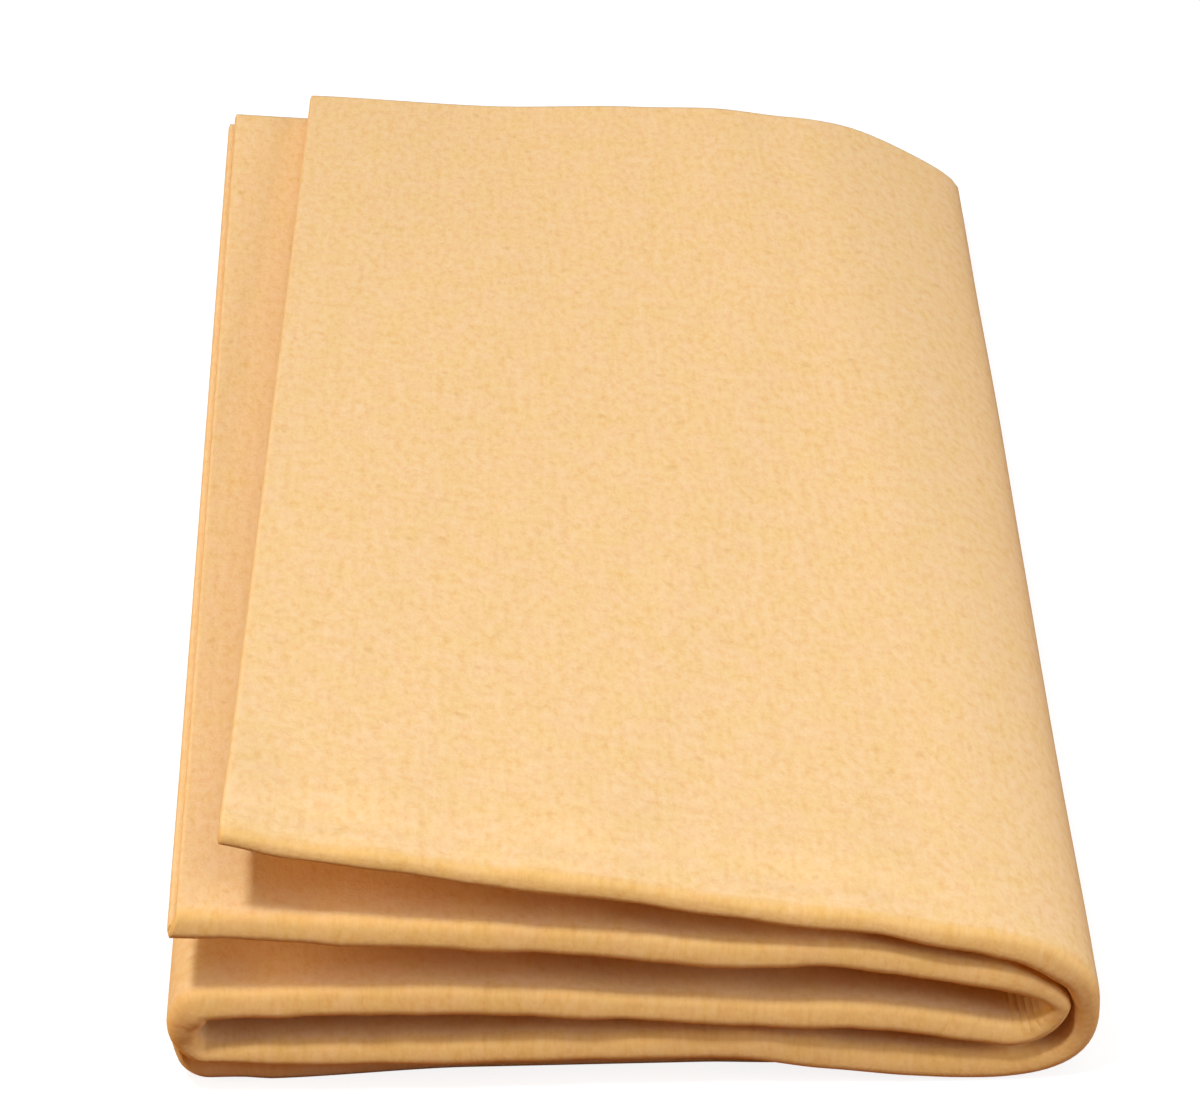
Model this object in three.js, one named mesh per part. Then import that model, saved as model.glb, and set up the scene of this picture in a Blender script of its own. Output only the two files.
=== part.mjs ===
// A synthetic chamois: one felted cloth, doubled along its front crease and then folded in four.
// Seen from the front, the strip starts at the free edge of the top leaf, turns down round the outer fold
// on the right, runs back under everything as the bottom leaf, turns up at the left fold into the third
// leaf, turns back at the inner fold, which nests inside the outer one, and ends as the second leaf.
// The sheet is divided along its creases: every leaf and every bend has two plies and a front crease.
// Millimetres, +X right, +Y to the back, +Z up. The origin is under the middle of the folded cloth.
import * as THREE from "three";

// The cloth
const plyThickness = 1.7;
const plyAir = 0.3; // between the two plies of a leaf
const creaseClearance = 0.3; // between two panels that meet at a crease
const foldedWidth = 124.4; // left fold to outer fold, over the outside
const foldedDepth = 200; // front crease to the cut edges at the back
const leafThickness = 2 * plyThickness + plyAir;

// Air between a leaf and the one under it, at the four corners of the pack
const thirdLeafAir = { frontLeft: 5.6, frontRight: 2.9, backLeft: 2.9, backRight: 1.7 };
const secondLeafAir = { frontLeft: 10.8, frontRight: 7.3, backLeft: 9.0, backRight: 1.0 };
const topLeafAir = { frontLeft: 12.4, frontRight: 2.45, backLeft: 0.9, backRight: 2.5 };

// How far a leaf bows up in the middle of its front
const thirdLeafBow = 2.3;
const secondLeafBow = 1.2;

// The bottom leaf at the front: its upper ply is lifted off the lower one, which lies on the floor and
// comes up to meet it again at the left fold
const bottomLeafLift = 5.7;
const liftTaper = 45; // how far from the outer fold the upper ply takes to rise
const heelLength = 14; // how far from the left fold the lower ply comes down to the floor

// How far each leaf's run stops short of the outside of the pack, to leave room for its fold
const topShoulderInset = { front: 20.5, back: 30 };
const bottomShoulderInset = { front: 15, back: 6.5 };
const secondShoulderInset = { front: 16, back: 17.3 };
const thirdShoulderInset = { front: 13, back: 17.3 };
const leftBendInset = 5;
const topEdgeInset = { front: 9, back: 15.2 };
const secondEdgeInset = 2;
const nestClearance = { front: 0.4, back: 9.2 }; // between the inner fold and the outer fold round it

// Where each fold is widest, as a share of the way from its lower leaf to its upper leaf
const outerFoldBelly = { front: 0.36, back: 0.213 };
const innerFoldBelly = { front: 0.44, back: 0.5 };
const leftFoldBelly = { front: 0.55, back: 0.5 };

// How square a bend is: 0.55 is a round quarter. The inner fold comes to a point at the front.
const outerFoldFullness = { front: 0.72, back: 0.55 };
const innerShoulderFullness = { front: 0.75, back: 0.55 };
const innerCreaseFullness = { front: 0.36, back: 0.55 };
const leftFoldFullness = 0.55;
const outerFoldSag = 3.4; // how far the outer fold's upper half sinks in at the back, with nothing under it

// Facets
const leafSteps = 6;
const bendSteps = 4;
const leftFoldSteps = 6;
const depthSteps = 3;
const creaseSteps = 6;

const left = -foldedWidth / 2;
const right = foldedWidth / 2;
const backY = foldedDepth / 2;
const creaseY = -foldedDepth / 2 + leafThickness / 2;

const mix = THREE.MathUtils.lerp;
const smooth = (value) => THREE.MathUtils.smoothstep(value, 0, 1);
const point = (x, z) => new THREE.Vector2(x, z);

// The two ends of a leaf at one station, front being 0 at the cut edges and 1 at the front crease
function leafAir(air, front) {
  return {
    left: mix(air.backLeft, air.frontLeft, front),
    right: mix(air.backRight, air.frontRight, front),
  };
}

function alongEnds(ends, front) {
  return mix(ends.back, ends.front, front);
}

// How far the upper ply of the bottom leaf is lifted at a station
function liftAt(front) {
  return bottomLeafLift * front;
}

// A leaf from one end to the other, with its bow
function leafCurve(from, to, bow) {
  const control = from.clone().lerp(to, 0.5);
  control.y += 2 * bow;
  return new THREE.QuadraticBezierCurve(from, control, to);
}

// A quarter turn from the end of a leaf, along its direction, to the upright middle of a fold
function quarterBend(leafEnd, leafDirection, crease, shoulderFullness, creaseFullness) {
  const reach = Math.abs(crease.x - leafEnd.x) * shoulderFullness;
  const rise = (crease.y - leafEnd.y) * creaseFullness;
  const leafHandle = leafEnd.clone().addScaledVector(leafDirection, reach);
  const creaseHandle = point(crease.x, crease.y - rise);
  return new THREE.CubicBezierCurve(leafEnd, leafHandle, creaseHandle, crease);
}

// A bend that sinks in between its ends
class SunkenBend extends THREE.CubicBezierCurve {
  constructor(bend, depth) {
    super(bend.v0, bend.v1, bend.v2, bend.v3);
    const chord = bend.v3.clone().sub(bend.v0).normalize();
    this.sink = point(chord.y, -chord.x).multiplyScalar(depth);
  }

  getPoint(along, target) {
    const share = 6 * (along * (1 - along)) ** 2;
    return super.getPoint(along, target).addScaledVector(this.sink, share);
  }
}

function reversed(curve) {
  return new THREE.CubicBezierCurve(curve.v3, curve.v2, curve.v1, curve.v0);
}

// The middle line of the doubled cloth at one station, as curves that follow the strip from end to end
function stripAt(front) {
  const third = leafAir(thirdLeafAir, front);
  const second = leafAir(secondLeafAir, front);
  const top = leafAir(topLeafAir, front);
  const shoulder = (inset) => right - alongEnds(inset, front);
  const floorLeaf = leafThickness / 2;

  const bottomRight = point(shoulder(bottomShoulderInset), floorLeaf);
  const bottomLeft = point(left + leftBendInset, floorLeaf + liftAt(front));
  const thirdLeft = point(left + leftBendInset, bottomLeft.y + leafThickness + third.left);
  const thirdRight = point(shoulder(thirdShoulderInset), floorLeaf + leafThickness + third.right);
  const secondEdge = point(left + secondEdgeInset, thirdLeft.y + leafThickness + second.left);
  const secondRight = point(shoulder(secondShoulderInset), thirdRight.y + leafThickness + second.right);
  const secondLeaf = leafCurve(secondRight, secondEdge, secondLeafBow * front);
  const overSecond = (x, air) => {
    const share = (x - secondRight.x) / (secondEdge.x - secondRight.x);
    return point(x, secondLeaf.getPoint(share).y + leafThickness + air);
  };
  const topEdge = overSecond(left + alongEnds(topEdgeInset, front), top.left);
  const topRight = overSecond(shoulder(topShoulderInset), top.right);

  const outerCrease = point(
    right - leafThickness / 2,
    mix(bottomRight.y, topRight.y, alongEnds(outerFoldBelly, front)),
  );
  const innerCrease = point(
    outerCrease.x - leafThickness - alongEnds(nestClearance, front),
    mix(thirdRight.y, secondRight.y, alongEnds(innerFoldBelly, front)),
  );
  const leftCrease = point(
    left + leafThickness / 2,
    mix(bottomLeft.y, thirdLeft.y, alongEnds(leftFoldBelly, front)),
  );

  const topLeaf = leafCurve(topEdge, topRight, 0);
  const bottomLeaf = leafCurve(bottomRight, bottomLeft, 0);
  const thirdLeaf = leafCurve(thirdLeft, thirdRight, thirdLeafBow * front);
  const rightwards = point(1, 0);
  const leftwards = point(-1, 0);

  const outerFullness = alongEnds(outerFoldFullness, front);
  const leftBend = (leafEnd, direction) =>
    quarterBend(leafEnd, direction, leftCrease, leftFoldFullness, leftFoldFullness);
  const outerBend = (leafEnd, direction) =>
    quarterBend(leafEnd, direction, outerCrease, outerFullness, outerFullness);
  const innerBend = (leafEnd, direction) =>
    quarterBend(
      leafEnd,
      direction,
      innerCrease,
      alongEnds(innerShoulderFullness, front),
      alongEnds(innerCreaseFullness, front),
    );
  const leftLower = leftBend(bottomLeft, leftwards);
  const leftUpper = leftBend(thirdLeft, thirdLeaf.getTangent(0).negate());
  const outerUpper = outerBend(topRight, topLeaf.getTangent(1));
  const innerUpper = innerBend(secondRight, secondLeaf.getTangent(0).negate());
  return {
    top_leaf: topLeaf,
    outer_fold_upper: new SunkenBend(outerUpper, outerFoldSag * (1 - front)),
    outer_fold_lower: reversed(outerBend(bottomRight, rightwards)),
    bottom_leaf: bottomLeaf,
    left_fold: joined(leftLower, reversed(leftUpper)),
    third_leaf: thirdLeaf,
    inner_fold_lower: innerBend(thirdRight, thirdLeaf.getTangent(1)),
    inner_fold_upper: reversed(innerUpper),
    second_leaf: secondLeaf,
  };
}

function joined(first, second) {
  const path = new THREE.CurvePath();
  path.add(first);
  path.add(second);
  return path;
}

// The stretches of the strip in order, with which of their ends are cut edges and which ply is uppermost
const stretches = [
  { name: "top_leaf", steps: leafSteps, cutStart: true, plies: ["upper_ply", "lower_ply"] },
  { name: "outer_fold_upper", steps: bendSteps, plies: ["outer_ply", "inner_ply"] },
  { name: "outer_fold_lower", steps: bendSteps, plies: ["outer_ply", "inner_ply"] },
  { name: "bottom_leaf", steps: leafSteps, plies: ["lower_ply", "upper_ply"] },
  { name: "left_fold", steps: leftFoldSteps, plies: ["outer_ply", "inner_ply"] },
  { name: "third_leaf", steps: leafSteps, plies: ["upper_ply", "lower_ply"] },
  { name: "inner_fold_lower", steps: bendSteps, plies: ["inner_ply", "outer_ply"] },
  { name: "inner_fold_upper", steps: bendSteps, plies: ["inner_ply", "outer_ply"] },
  { name: "second_leaf", steps: leafSteps, cutEnd: true, plies: ["lower_ply", "upper_ply"] },
];

// Points of one stretch at a station: the middle line, the side that faces out of the outer fold, and
// half of the air between the plies
function stretchPoints(stretch, front) {
  const curve = stripAt(front)[stretch.name];
  const trim = creaseClearance / 2 / curve.getLength();
  const from = stretch.cutStart ? 0 : trim;
  const to = stretch.cutEnd ? 1 : 1 - trim;
  return Array.from({ length: stretch.steps + 1 }, (_, step) => {
    const along = mix(from, to, step / stretch.steps);
    const middle = curve.getPointAt(along);
    if (stretch.name === "bottom_leaf") return bottomLeafPoint(middle.x, front);
    const tangent = curve.getTangentAt(along);
    return { middle, normal: point(-tangent.y, tangent.x), halfAir: plyAir / 2 };
  });
}

// The bottom leaf, whose two plies part at the front
function bottomLeafPoint(x, front) {
  const lift = liftAt(front);
  const fromOuterFold = right - alongEnds(bottomShoulderInset, front) - x;
  const fromLeftFold = x - left - leftBendInset;
  const upperRise = lift * smooth(fromOuterFold / liftTaper);
  const lowerRise = lift * (1 - smooth(fromLeftFold / heelLength));
  return {
    middle: point(x, (leafThickness + upperRise + lowerRise) / 2),
    normal: point(0, -1),
    halfAir: (plyAir + upperRise - lowerRise) / 2,
  };
}

function lifted({ middle, normal }, height, y) {
  const at = middle.clone().addScaledVector(normal, height);
  return new THREE.Vector3(at.x, y, at.y);
}

// A closed solid through a row of closed rings with the same number of points
function loft(rings) {
  const ringSize = rings[0].length;
  const positions = rings.flat().flatMap((vertex) => vertex.toArray());
  const faces = [];
  for (let ring = 0; ring + 1 < rings.length; ring++) {
    for (let i = 0; i < ringSize; i++) {
      const a = ring * ringSize + i;
      const b = ring * ringSize + ((i + 1) % ringSize);
      faces.push([a, b, a + ringSize], [b, b + ringSize, a + ringSize]);
    }
  }
  const lastRing = (rings.length - 1) * ringSize;
  for (let i = 0; i + 1 < ringSize - 1 - i; i++) {
    const far = ringSize - 1 - i;
    faces.push([i, far, i + 1], [lastRing + i, lastRing + i + 1, lastRing + far]);
    if (i + 1 < far - 1) {
      faces.push([i + 1, far, far - 1], [lastRing + i + 1, lastRing + far - 1, lastRing + far]);
    }
  }
  const facesOut = signedVolume(rings.flat(), faces) > 0 ? faces : faces.map(([a, b, c]) => [a, c, b]);
  const geometry = new THREE.BufferGeometry();
  geometry.setAttribute("position", new THREE.Float32BufferAttribute(positions, 3));
  geometry.setIndex(facesOut.flat());
  geometry.computeVertexNormals();
  return geometry;
}

function signedVolume(vertices, faces) {
  const cross = new THREE.Vector3();
  return faces.reduce(
    (sum, [a, b, c]) => sum + vertices[a].dot(cross.crossVectors(vertices[b], vertices[c])) / 6,
    0,
  );
}

// One ply of a stretch, from the cut edge at the back to the front crease
function plyGeometry(stretch, side) {
  const frontY = creaseY + creaseClearance;
  const stations = Array.from({ length: depthSteps + 1 }, (_, i) => i / depthSteps);
  const rows = stations.map((share) => {
    const y = mix(backY, frontY, share);
    const front = (backY - y) / (backY - creaseY);
    return { y, points: stretchPoints(stretch, front) };
  });
  const rings = [];
  for (let step = 0; step <= stretch.steps; step++) {
    const surface = (height) =>
      rows.map(({ y, points }) => {
        const at = points[step];
        return lifted(at, side * (at.halfAir + height), y);
      });
    rings.push([...surface(plyThickness), ...surface(0).reverse()]);
  }
  return loft(rings);
}

// The half round that joins the two plies of a stretch along the front
function creaseGeometry(stretch) {
  const rings = stretchPoints(stretch, 1).map((at) => {
    const halfHeight = at.halfAir + plyThickness;
    return Array.from({ length: creaseSteps + 1 }, (_, i) => {
      const turn = Math.PI * (i / creaseSteps - 0.5);
      const y = creaseY - (leafThickness / 2) * Math.cos(turn);
      return lifted(at, halfHeight * Math.sin(turn), y);
    });
  });
  return loft(rings);
}

const feltedCloth = new THREE.MeshStandardMaterial({ color: 0xf7cf95, roughness: 0.95, metalness: 0 });

function addPanel(group, name, geometry) {
  const mesh = new THREE.Mesh(geometry, feltedCloth);
  mesh.name = name;
  group.add(mesh);
}

const cloth = new THREE.Group();
for (const stretch of stretches) {
  const [facingOut, facingIn] = stretch.plies;
  addPanel(cloth, `${stretch.name}_${facingOut}`, plyGeometry(stretch, 1));
  addPanel(cloth, `${stretch.name}_${facingIn}`, plyGeometry(stretch, -1));
  addPanel(cloth, `${stretch.name}_front_crease`, creaseGeometry(stretch));
}

export default cloth;
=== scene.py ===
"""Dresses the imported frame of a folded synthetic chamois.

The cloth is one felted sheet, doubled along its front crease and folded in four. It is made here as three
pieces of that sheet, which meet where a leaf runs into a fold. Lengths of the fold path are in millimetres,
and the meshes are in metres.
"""

from collections import namedtuple

import bpy
import numpy as np
from bpy.props import FloatProperty, FloatVectorProperty, PointerProperty, StringProperty
from bpy.types import NodeSocket, Operator, Panel, PropertyGroup
from mathutils import Euler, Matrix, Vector


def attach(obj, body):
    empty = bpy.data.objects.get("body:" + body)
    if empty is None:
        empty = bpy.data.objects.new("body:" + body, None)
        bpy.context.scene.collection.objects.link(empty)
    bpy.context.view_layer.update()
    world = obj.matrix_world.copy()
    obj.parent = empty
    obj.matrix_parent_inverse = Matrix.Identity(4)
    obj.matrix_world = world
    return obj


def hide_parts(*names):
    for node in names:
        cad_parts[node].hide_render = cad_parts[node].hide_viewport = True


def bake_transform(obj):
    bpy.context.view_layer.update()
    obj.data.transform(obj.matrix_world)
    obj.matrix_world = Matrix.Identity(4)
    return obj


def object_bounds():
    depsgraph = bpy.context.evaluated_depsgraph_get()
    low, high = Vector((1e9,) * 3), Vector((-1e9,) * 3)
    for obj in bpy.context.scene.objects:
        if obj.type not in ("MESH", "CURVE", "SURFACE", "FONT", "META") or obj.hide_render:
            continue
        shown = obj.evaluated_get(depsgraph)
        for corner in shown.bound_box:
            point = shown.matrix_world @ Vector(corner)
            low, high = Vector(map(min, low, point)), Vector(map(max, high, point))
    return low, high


bl_info = {
    "name": "Folded chamois cloth",
    "version": (1, 0, 0),
    "blender": (4, 5, 0),
    "location": "View3D > Sidebar > Chamois",
    "description": "Builds a felted synthetic chamois, doubled and folded in four, on its packed frame",
    "category": "Object",
}

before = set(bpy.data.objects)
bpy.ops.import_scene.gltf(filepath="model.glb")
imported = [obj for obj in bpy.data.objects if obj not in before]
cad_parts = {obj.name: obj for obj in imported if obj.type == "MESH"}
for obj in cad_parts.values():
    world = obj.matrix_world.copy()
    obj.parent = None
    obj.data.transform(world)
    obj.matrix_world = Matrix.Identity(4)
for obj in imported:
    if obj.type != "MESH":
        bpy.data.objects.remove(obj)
cad_low, cad_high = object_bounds()

MM = 0.001
FLAT_MAP = "flat_sheet"
# Name of the attribute that holds how much painted shade the front crease gets
PAINTED_SHADE_MAP = "painted_crease_shade"

Corners = namedtuple("Corners", "front_left front_right back_left back_right")
Ends = namedtuple("Ends", "front back")
Dent = namedtuple("Dent", "x behind half_width half_length depth")
Layout = namedtuple("Layout", "lengths starts places flat_u columns")
Stretch = namedtuple("Stretch", "middle normal parting inwards")
Strip = namedtuple("Strip", "middle normal half_gap parting ply")
Sheet = namedtuple("Sheet", "outer inner flat columns crease")
Lamp = namedtuple("Lamp", "shape size towards distance")

# Air between a leaf and the one under it, at the four corners of the pack
THIRD_LEAF_AIR = Corners(5.6, 2.9, 2.9, 1.7)
SECOND_LEAF_AIR = Corners(10.8, 7.3, 9.0, 1.0)
TOP_LEAF_AIR = Corners(12.4, 2.45, 0.9, 2.5)

# How far a leaf bows up in the middle of its front
THIRD_LEAF_BOW = 2.3
SECOND_LEAF_BOW = 1.2

# The bottom leaf's upper ply is lifted at the front. The lower ply stays on the floor, and comes up to it
# in the left fold.
BOTTOM_LEAF_LIFT = 5.7
LIFT_TAPER = 45  # length of the leaf, from the outer fold, in which the lift comes in
HEEL_LENGTH = 8  # length of the leaf, up to the left fold, in which the lower ply starts to rise
HEEL_SHARE = 0.06  # how much of the lift the lower ply has taken where the left fold starts
PARTING_HOLD = 0.26  # share of the left fold up to which its plies hang apart
PARTING_END = 0.52  # and the share at which they have met again

# How far each leaf's run stops short of the outside of the pack
TOP_SHOULDER_INSET = Ends(20.5, 30)
BOTTOM_SHOULDER_INSET = Ends(15, 6.5)
SECOND_SHOULDER_INSET = Ends(16, 17.3)
THIRD_SHOULDER_INSET = Ends(13, 17.3)
LEFT_BEND_INSET = 5
TOP_EDGE_INSET = Ends(9, 15.2)
SECOND_EDGE_INSET = 2
SECOND_EDGE_REACH = 8  # how far from the second leaf's cut edges its plies are shifted
NEST_CLEARANCE = Ends(0.1, 9.2)  # between the outer fold and the inner one that it goes round

# Where each fold is widest, as a share of the way from its lower leaf to its upper leaf
OUTER_FOLD_BELLY = Ends(0.36, 0.213)
INNER_FOLD_BELLY = Ends(0.44, 0.5)
LEFT_FOLD_BELLY = Ends(0.55, 0.5)

# How square a bend is: 0.55 is a round quarter
OUTER_FOLD_FULLNESS = Ends(0.66, 0.55)
INNER_UPPER_FULLNESS = Ends(0.6, 0.55)
INNER_LOWER_FULLNESS = Ends(0.75, 0.55)
INNER_CREASE_FULLNESS = Ends(0.26, 0.55)
LEFT_FOLD_FULLNESS = 0.55
OUTER_FOLD_SINK = 3.4  # how far the outer fold's upper half sinks in at the back
SUNKEN_HANDLES = 0.75  # share of their length that the handles of a bend keep where it sinks in

# How far the front crease of each leaf stands above or hangs below an even line: (x, rise)
CREASE_WAVES = {
    "top_leaf": (
        (-53.4, 0.55),
        (-44.7, -0.35),
        (-33, 0),
        (-22, -0.35),
        (-5, 0.35),
        (7.6, 0),
        (21, 0.2),
        (31, 0.65),
        (41, 0),
    ),
    "second_leaf": ((-60, 0.6), (-33.5, 0.2), (-4.8, 0.4), (11.4, -0.1), (27.5, 1.4), (46, 0)),
    "third_leaf": ((-57, 0), (-18.8, 0.5), (-4.8, 0), (16.3, 0.1), (32.7, 0.9), (49, 0)),
    "bottom_leaf": ((-57, 0), (-40, -0.5), (5, -0.6), (15, 0.2), (24, -0.5), (33, -0.4), (47, 0)),
}
WAVE_REACH = 35  # how far behind the crease its waves die out

# The same for the top leaf's cut edge at the back
BACK_WAVE = ((-47, 0), (-18, -0.7), (7, 0.35), (20, 0.7), (33, 0))
BACK_WAVE_REACH = 70  # how far in front of the cut edge it dies out

# Soft dents that handling left along the front of each leaf
DENTS = {
    "top_leaf": (
        Dent(-37, 3.2, 6, 3, 0.5),
        Dent(-11, 3.5, 5, 3.2, 0.45),
        Dent(20, 3, 5.5, 3, 0.55),
        Dent(31, 4, 4, 3, 0.3),
    ),
    "second_leaf": (Dent(-57, 2.5, 3, 2.5, 0.4), Dent(-41, 2.5, 5, 2.5, 0.35), Dent(5, 2.5, 6, 2.5, 0.3)),
    "third_leaf": (Dent(-49, 2.5, 4, 2.5, 0.35), Dent(-19, 2.5, 3, 2.5, 0.3), Dent(20, 2.5, 5, 2.5, 0.3)),
    "bottom_leaf": (Dent(-25, 2, 5, 2.5, 0.35), Dent(12, 2, 4, 2.5, 0.3)),
}

# Thickness of the doubled cloth along its front crease: (share of the stretch, thickness)
CREASE_THICKNESS = {
    "top_leaf": ((0, 2.1), (0.12, 2.5), (0.5, 2.9), (0.93, 2.9)),
    "outer_fold_upper": ((0.5, 4.3), (1, 3.5)),
    "outer_fold_lower": ((0.4, 3.7), (1, 4.5)),
    "bottom_leaf": ((0.3, 4.6), (0.5, 4.1), (0.85, 3.9), (1, 3.0)),
    "left_fold": ((0.25, 3.0), (0.52, 4.3), (0.78, 4.9), (1, 4.6)),
    "third_leaf": ((0.08, 4.4), (0.5, 4.2), (1, 4.2)),
    "inner_fold_lower": ((1, 3.2),),
    "inner_fold_upper": ((1, 4.0),),
    "second_leaf": ((0.4, 4.1), (1, 4.0)),
}
# Stretches on the outside of the pack, where a thicker crease grows inwards
OUTSIDE_STRETCHES = ("top_leaf", "outer_fold_upper", "outer_fold_lower", "bottom_leaf")
LEFT_FOLD_TURN = 0.7  # share of the left fold from which its crease comes to grow both ways
CREASE_REACH = 9  # how far behind the crease that thickness dies out
THIN_PLY_SHARE = 0.46  # share of a pinched crease's thickness that one ply has
CREASE_SQUARENESS = 0.5  # 1 is a round crease, and less is squarer

# How much further forward the crease stands at its lower edge than at its upper edge, for a distance of 1 mm
# between the two: (stretch, share of it, distance)
CREASE_DROOP = (
    ("top_leaf", 0, 0.45),
    ("outer_fold_upper", 0.3, 0.45),
    ("outer_fold_lower", 0.5, 0.35),
    ("bottom_leaf", 0.3, 0.35),
    ("bottom_leaf", 0.6, 0.45),
    ("second_leaf", 1, 0.45),
)

# Painted shade along the front crease: the felt's colour is multiplied darker and warmer there
PAINTED_SHADE_CORE = 0.9  # distance from the middle of the crease up to which the painted shade is full
PAINTED_SHADE_END = 2.6  # and where it has faded out

# How far the bottom leaf's lower ply is tucked in under its front crease: (x, distance)
TUCK = ((-57, 0.9), (-50, 1.2), (-22, 2.5), (9, 2.5), (22, 2), (33, 1.5), (47, 1.5))
TUCK_REACH = 20  # how far behind the crease the tuck dies out
TUCK_DROP = 0.85  # share of its way up to the crease in which the tucked ply rises
TUCK_HOLD = 0.4  # and the share in which it stays tucked in

# How far the cut edges at the back are drawn in round the outer fold: (stretch, share of it, distance)
BACK_RECESS = (
    ("top_leaf", 0.8, 0),
    ("outer_fold_upper", 0.25, 0.9),
    ("outer_fold_upper", 0.85, 4.0),
    ("outer_fold_lower", 0.2, 2.6),
    ("bottom_leaf", 0.05, 0),
)

# Slow ripples of the felt: (height, wavelength along the strip, wavelength across it, phase)
RIPPLES = ((0.06, 41, 160, 0.4), (0.05, 23, 95, 2.1), (0.04, 13.5, 60, 4.0))
RIPPLE_RISE = (2, 8)  # heights between which the ripples come in, above the floor
RIPPLE_BACK = 40  # how far from the cut edges at the back they have their full height

# Quicker lumps in the thickness of the front creases: (height, wavelength, phase)
CREASE_LUMPS = ((0.12, 17.3, 0.6), (0.09, 9.7, 2.9), (0.06, 5.9, 1.3))
EVEN_EDGE = 12  # how far from a cut edge the lumps have their full height

# Small pleats inside the inner fold, where its crease is gathered
PLEAT_LENGTH = 5  # length of the strip that is gathered, from the start of the fold
PLEAT_WIDTH = 1.0
PLEAT_HEIGHT = 0.18
PLEAT_REACH = 7  # how far behind the crease they die out

# Grid of the sheet
LEAF_COLUMNS = 64
BEND_COLUMNS = 18
PLEATED_COLUMNS = 72
LEFT_FOLD_COLUMNS = 28
CREASE_ROWS = 14
TUCK_ROWS = 9
EVEN_ROWS = 40
CURVE_SAMPLES = 64
FREE_EDGE_STEP = 0.4  # width of the first column and row at a cut edge
FREE_EDGE_WIDENING = 3  # how many times as far from a cut edge the next column stands
# Distances of the close rows behind the front crease, and of the last rows before the cut edges at the back
NEAR_ROWS = (0, 0.5, 1.1, 1.8, 2.6, 3.6, 4.9, 6.5, 8.5, 11, 14, 17.5, 21.5, 26, 31)
LAST_ROWS = (3, 1.2, FREE_EDGE_STEP, 0)
FLAT_STATION = 0.5  # how far forward, from the cut edges to the crease, the strip's flat length is taken

STRETCH_COLUMNS = {
    "top_leaf": LEAF_COLUMNS,
    "outer_fold_upper": BEND_COLUMNS,
    "outer_fold_lower": BEND_COLUMNS,
    "bottom_leaf": LEAF_COLUMNS,
    "left_fold": LEFT_FOLD_COLUMNS,
    "third_leaf": LEAF_COLUMNS,
    "inner_fold_lower": PLEATED_COLUMNS,
    "inner_fold_upper": BEND_COLUMNS,
    "second_leaf": LEAF_COLUMNS,
}
FREE_LEAVES = ("top_leaf", "second_leaf")  # the first and the last stretch, which end at cut edges

# Grain of the felt
STREAK_WIDTH = 1.1 * MM
STREAK_LENGTH = 14 * MM
STREAK_SHARE = 0.18  # how much of the nap's colour follows the streaks
DYE_PATCH = 5 * MM
DYE_SHARE = 0.45  # how much of the colour follows the uneven dye
FLECK_SPACING = 2.4 * MM
FIBRE_WIDTH = 0.4 * MM
FIBRE_HEIGHT = 0.4  # height of single fibres, as a share of the nap's
SHEEN_COLOUR = "FFE0B4"

# Stage
FLOOR_HALF = 2.0
FLOOR_DROP = 0.05 * MM  # keeps the floor clear of the cloth's underside
PAPER_COLOUR = "8C8C8C"
PAPER_GLOW = 0.86
PAPER_BOUNCE = "8E5218"  # the paper's colour as the cloth sees it
KEY_LAMP = Lamp("DISK", 0.13, (-0.24, -0.25, 0.94), 1.1)
OVERHEAD_LAMP = Lamp("SQUARE", 1.2, (0.1, -0.1, 1), 1.5)
SIDE_LAMP = Lamp("SQUARE", 0.6, (0.75, -0.38, 0.5), 1.2)
REFLECTOR = Lamp("SQUARE", 0.5, (-1, -0.16, 0.4), 1.2)
SENSOR_WIDTH = 36

# Sockets of a Mix node that mixes colours, by number because its other kinds of data have the same names
MIX_SHARE = 0
MIX_FIRST = 6
MIX_SECOND = 7
MIX_RESULT = 2


class ClothSizes(PropertyGroup):
    """Sizes of the cloth that its pieces share."""

    ply_thickness: FloatProperty(
        name="Ply",
        description="Thickness of the felted sheet",
        default=1.7 * MM,
        unit="LENGTH",
    )
    ply_air: FloatProperty(
        name="Air between plies",
        description="Gap between the two plies of a leaf, away from the creases",
        default=0.3 * MM,
        unit="LENGTH",
    )
    folded_width: FloatProperty(
        name="Folded width",
        description="Left fold to outer fold, over the outside",
        default=cad_high.x - cad_low.x,
        unit="LENGTH",
    )
    folded_depth: FloatProperty(
        name="Folded depth",
        description="Front crease to the cut edges at the back",
        default=cad_high.y - cad_low.y,
        unit="LENGTH",
    )
    flat_length: FloatProperty(
        name="Sheet length",
        description="Length of the sheet as it was cut, across the strip",
        default=400 * MM,
        unit="LENGTH",
    )
    edge_round: FloatProperty(
        name="Edge rounding",
        description="How far a cut edge bulges between its two faces",
        default=0.25 * MM,
        unit="LENGTH",
    )
    second_edge_step: FloatProperty(
        name="Second leaf step",
        description="How far the lower ply of the second leaf sticks out beyond its upper ply",
        default=1.0 * MM,
        unit="LENGTH",
    )


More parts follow.
